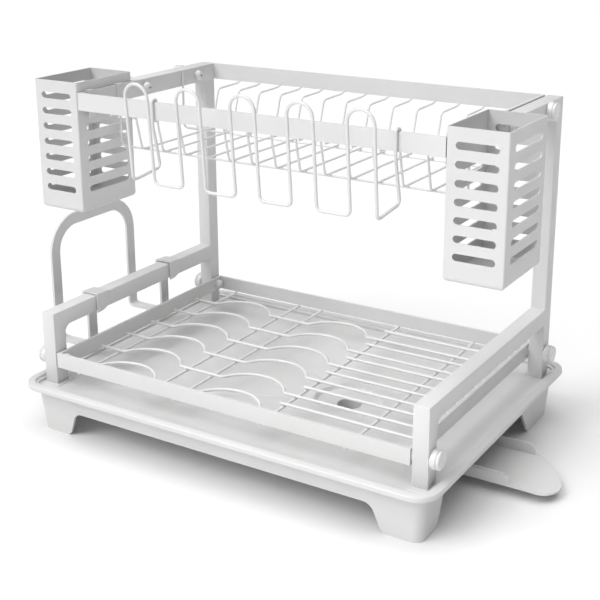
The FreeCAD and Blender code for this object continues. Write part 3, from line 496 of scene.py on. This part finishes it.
def inset(half, amount):
    """Half size of a rectangle made smaller by an amount all round."""
    return (half[0] - amount, half[1] - amount)


def drain_ray(column):
    """From the middle of the drain to where a column meets the edge of the floor."""
    return column_place(column, inset(RIM_HALF, FLOOR_INSET), RIM_R - FLOOR_INSET) - DRAIN


def rim_ring(columns, depth, z):
    """Ring at a depth inwards from the rim's outer edge."""
    return [(*column_place(column, inset(RIM_HALF, depth), RIM_R - depth), z) for column in columns]


def skirt_ring(columns, share, wall):
    """Ring on the leaning skirt, from its top (share 0) to its lower edge (share 1).

    wall is 0 outside and the skirt's wall inside."""
    ring = []
    for column in columns:
        top = LIP_TOP if not wall else FLOOR_EDGE - FLOOR_WALL
        z = top + (min(foot_height(column), top) - top) * share
        lean = SKIRT_LEAN * (1 - z / LIP_TOP) + wall
        ring.append((*column_place(column, inset(SKIRT_HALF, lean), SKIRT_R - wall), z))
    return ring


def floor_rings(columns, lowered, inner_r, shares):
    """Rings on the floor, which falls in straight lines from its edge to the drain.

    lowered is 0 on top and the wall underneath; shares run from inner_r (0) to the edge (1)."""
    rings = []
    middle_turn = math.pi / 4
    for share in shares:
        fold = CREASE if 0 < share < CREASE_END else 0.0
        ring = []
        for column in columns:
            ray = drain_ray(column)
            distance = inner_r + (ray.length - inner_r) * share
            spot = DRAIN + ray.normalized() * distance
            z = FLOOR_EDGE - FLOOR_FALL * (1 - distance / ray.length) - lowered
            if math.isclose(column[2], middle_turn):
                z -= fold
            ring.append((*spot, z))
        rings.append(ring)
    return rings


def round_rings(columns, outline):
    """Rings about the drain, with a column's point on the ray to the column."""
    rays = [drain_ray(column).normalized() for column in columns]
    return [[(*(DRAIN + ray * radius), z) for ray in rays] for radius, z in outline]


def add_pad(bm, x, y):
    """Low level pad with round corners that a post's cap stands on."""
    rings = []
    for half, radius, z in PAD_OUTLINE:
        ring = []
        for side in range(len(SIDE_DIRECTIONS)):
            for step in range(PAD_STEPS + 1):
                corner = (side, 1.0, math.pi / 2 * step / PAD_STEPS)
                place = column_place(corner, (half, half + PAD_LONGER), radius)
                ring.append((place.x + x, place.y + y, z))
        rings.append(ring)
    rows = add_rings(bm, rings, False)
    bm.faces.new(rows[-1])


def make_tray():
    """One closed shell from the drain over the floor, rim and skirt and back underneath."""
    columns = tray_columns()
    rings = round_rings(columns, RECESS)
    rings += floor_rings(columns, 0.0, FLOOR_R, FLOOR_SHARES)
    rings += [rim_ring(columns, depth, z) for depth, z in RIM_OUTLINE]
    rings += [skirt_ring(columns, share, 0.0) for share in SKIRT_SHARES]
    rings += [skirt_ring(columns, share, SKIRT_WALL) for share in SKIRT_BACK_SHARES]
    rings += floor_rings(columns, FLOOR_WALL, UNDERSIDE_R, UNDERSIDE_SHARES)
    rings += round_rings(columns, OUTLET)
    bm = bmesh.new()
    add_rings(bm, rings, True)
    for x in PADS_X:
        for y in PADS_Y:
            add_pad(bm, x, y)
    bmesh.ops.translate(bm, verts=bm.verts, vec=(*(TRAY_MIDDLE * MM), 0))
    add_piece("tray_shell", bm, "tray", "tray_plastic", ("drip_tray",))


# ---------------------------------------------------------------- knobs and dome nuts
# Outlines as distance from the seating face and radius, in millimetres
KNOB = ((0.0, 7.9), (0.3, 8.4), (0.8, 8.72), (1.4, 8.8), (4.8, 8.8), (5.2, 8.66), (5.45, 8.3),
        (5.55, 7.9), (5.8, 7.75), (6.1, 7.9), (6.35, 8.25), (6.7, 8.53), (7.3, 8.58), (7.9, 8.38),
        (8.4, 7.9), (8.7, 7.3), (8.8, 6.8), (8.55, 6.3), (8.4, 5.1), (8.36, 2.6), (8.35, 0.0))
NUT = ((0.0, 4.8), (0.3, 5.1), (0.7, 5.2), (3.0, 5.2), (3.9, 4.85), (4.8, 4.25), (5.5, 3.45),
       (6.0, 2.6), (6.3, 1.9), (6.4, 1.5), (6.2, 1.3), (3.4, 1.2), (3.4, 0.0))
LOWER_BOLTS = ((-129.0, 71.6), (128.2, 71.6))          # y and z of the bolts on each side
UPPER_BOLTS = ((11.6, 321.0), (99.6, 321.0))
TURN_STEPS = 48
TURN_LEAST_R = 0.02                       # keeps the points in the middle of an end apart


def add_turned(bm, outline, face, out, y, z):
    """Solid turned about the X axis through y and z, standing out of a face by out (1 or -1)."""
    turns = [2 * math.pi * step / TURN_STEPS for step in range(TURN_STEPS)]
    rings = []
    for distance, radius in outline:
        x = face + out * distance
        reach = max(radius, TURN_LEAST_R)
        rings.append([(x, y + reach * math.cos(turn), z + reach * math.sin(turn))
                      for turn in turns])
    rows = add_rings(bm, rings, False)
    bm.faces.new(rows[0])
    bm.faces.new(rows[-1])


def make_fasteners():
    """Knobs on the outside of the side frames and dome nuts on the inside of the bars."""
    frame_faces = ((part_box("left_back_post")[0][0] / MM, -1),
                   (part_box("right_back_post")[1][0] / MM, 1))
    bar_faces = ((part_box("lower_left_bar")[1][0] / MM, 1),
                 (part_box("lower_right_bar")[0][0] / MM, -1))
    kinds = (("knobs", "knob_bolts", KNOB, frame_faces), ("domes", "dome_nuts", NUT, bar_faces))
    for tier, bolts in (("lower", LOWER_BOLTS), ("upper", UPPER_BOLTS)):
        for label, replaced, outline, faces in kinds:
            bm = bmesh.new()
            for face, out in faces:
                for y, z in bolts:
                    add_turned(bm, outline, face, out, y, z)
            add_piece(f"{tier}_{label}", bm, "rack", "fastener_plastic", (f"{tier}_{replaced}",))


make_camera()
make_floor()
make_light()
finish_cad_nodes()
make_side_frames()
make_tray()
make_fasteners()
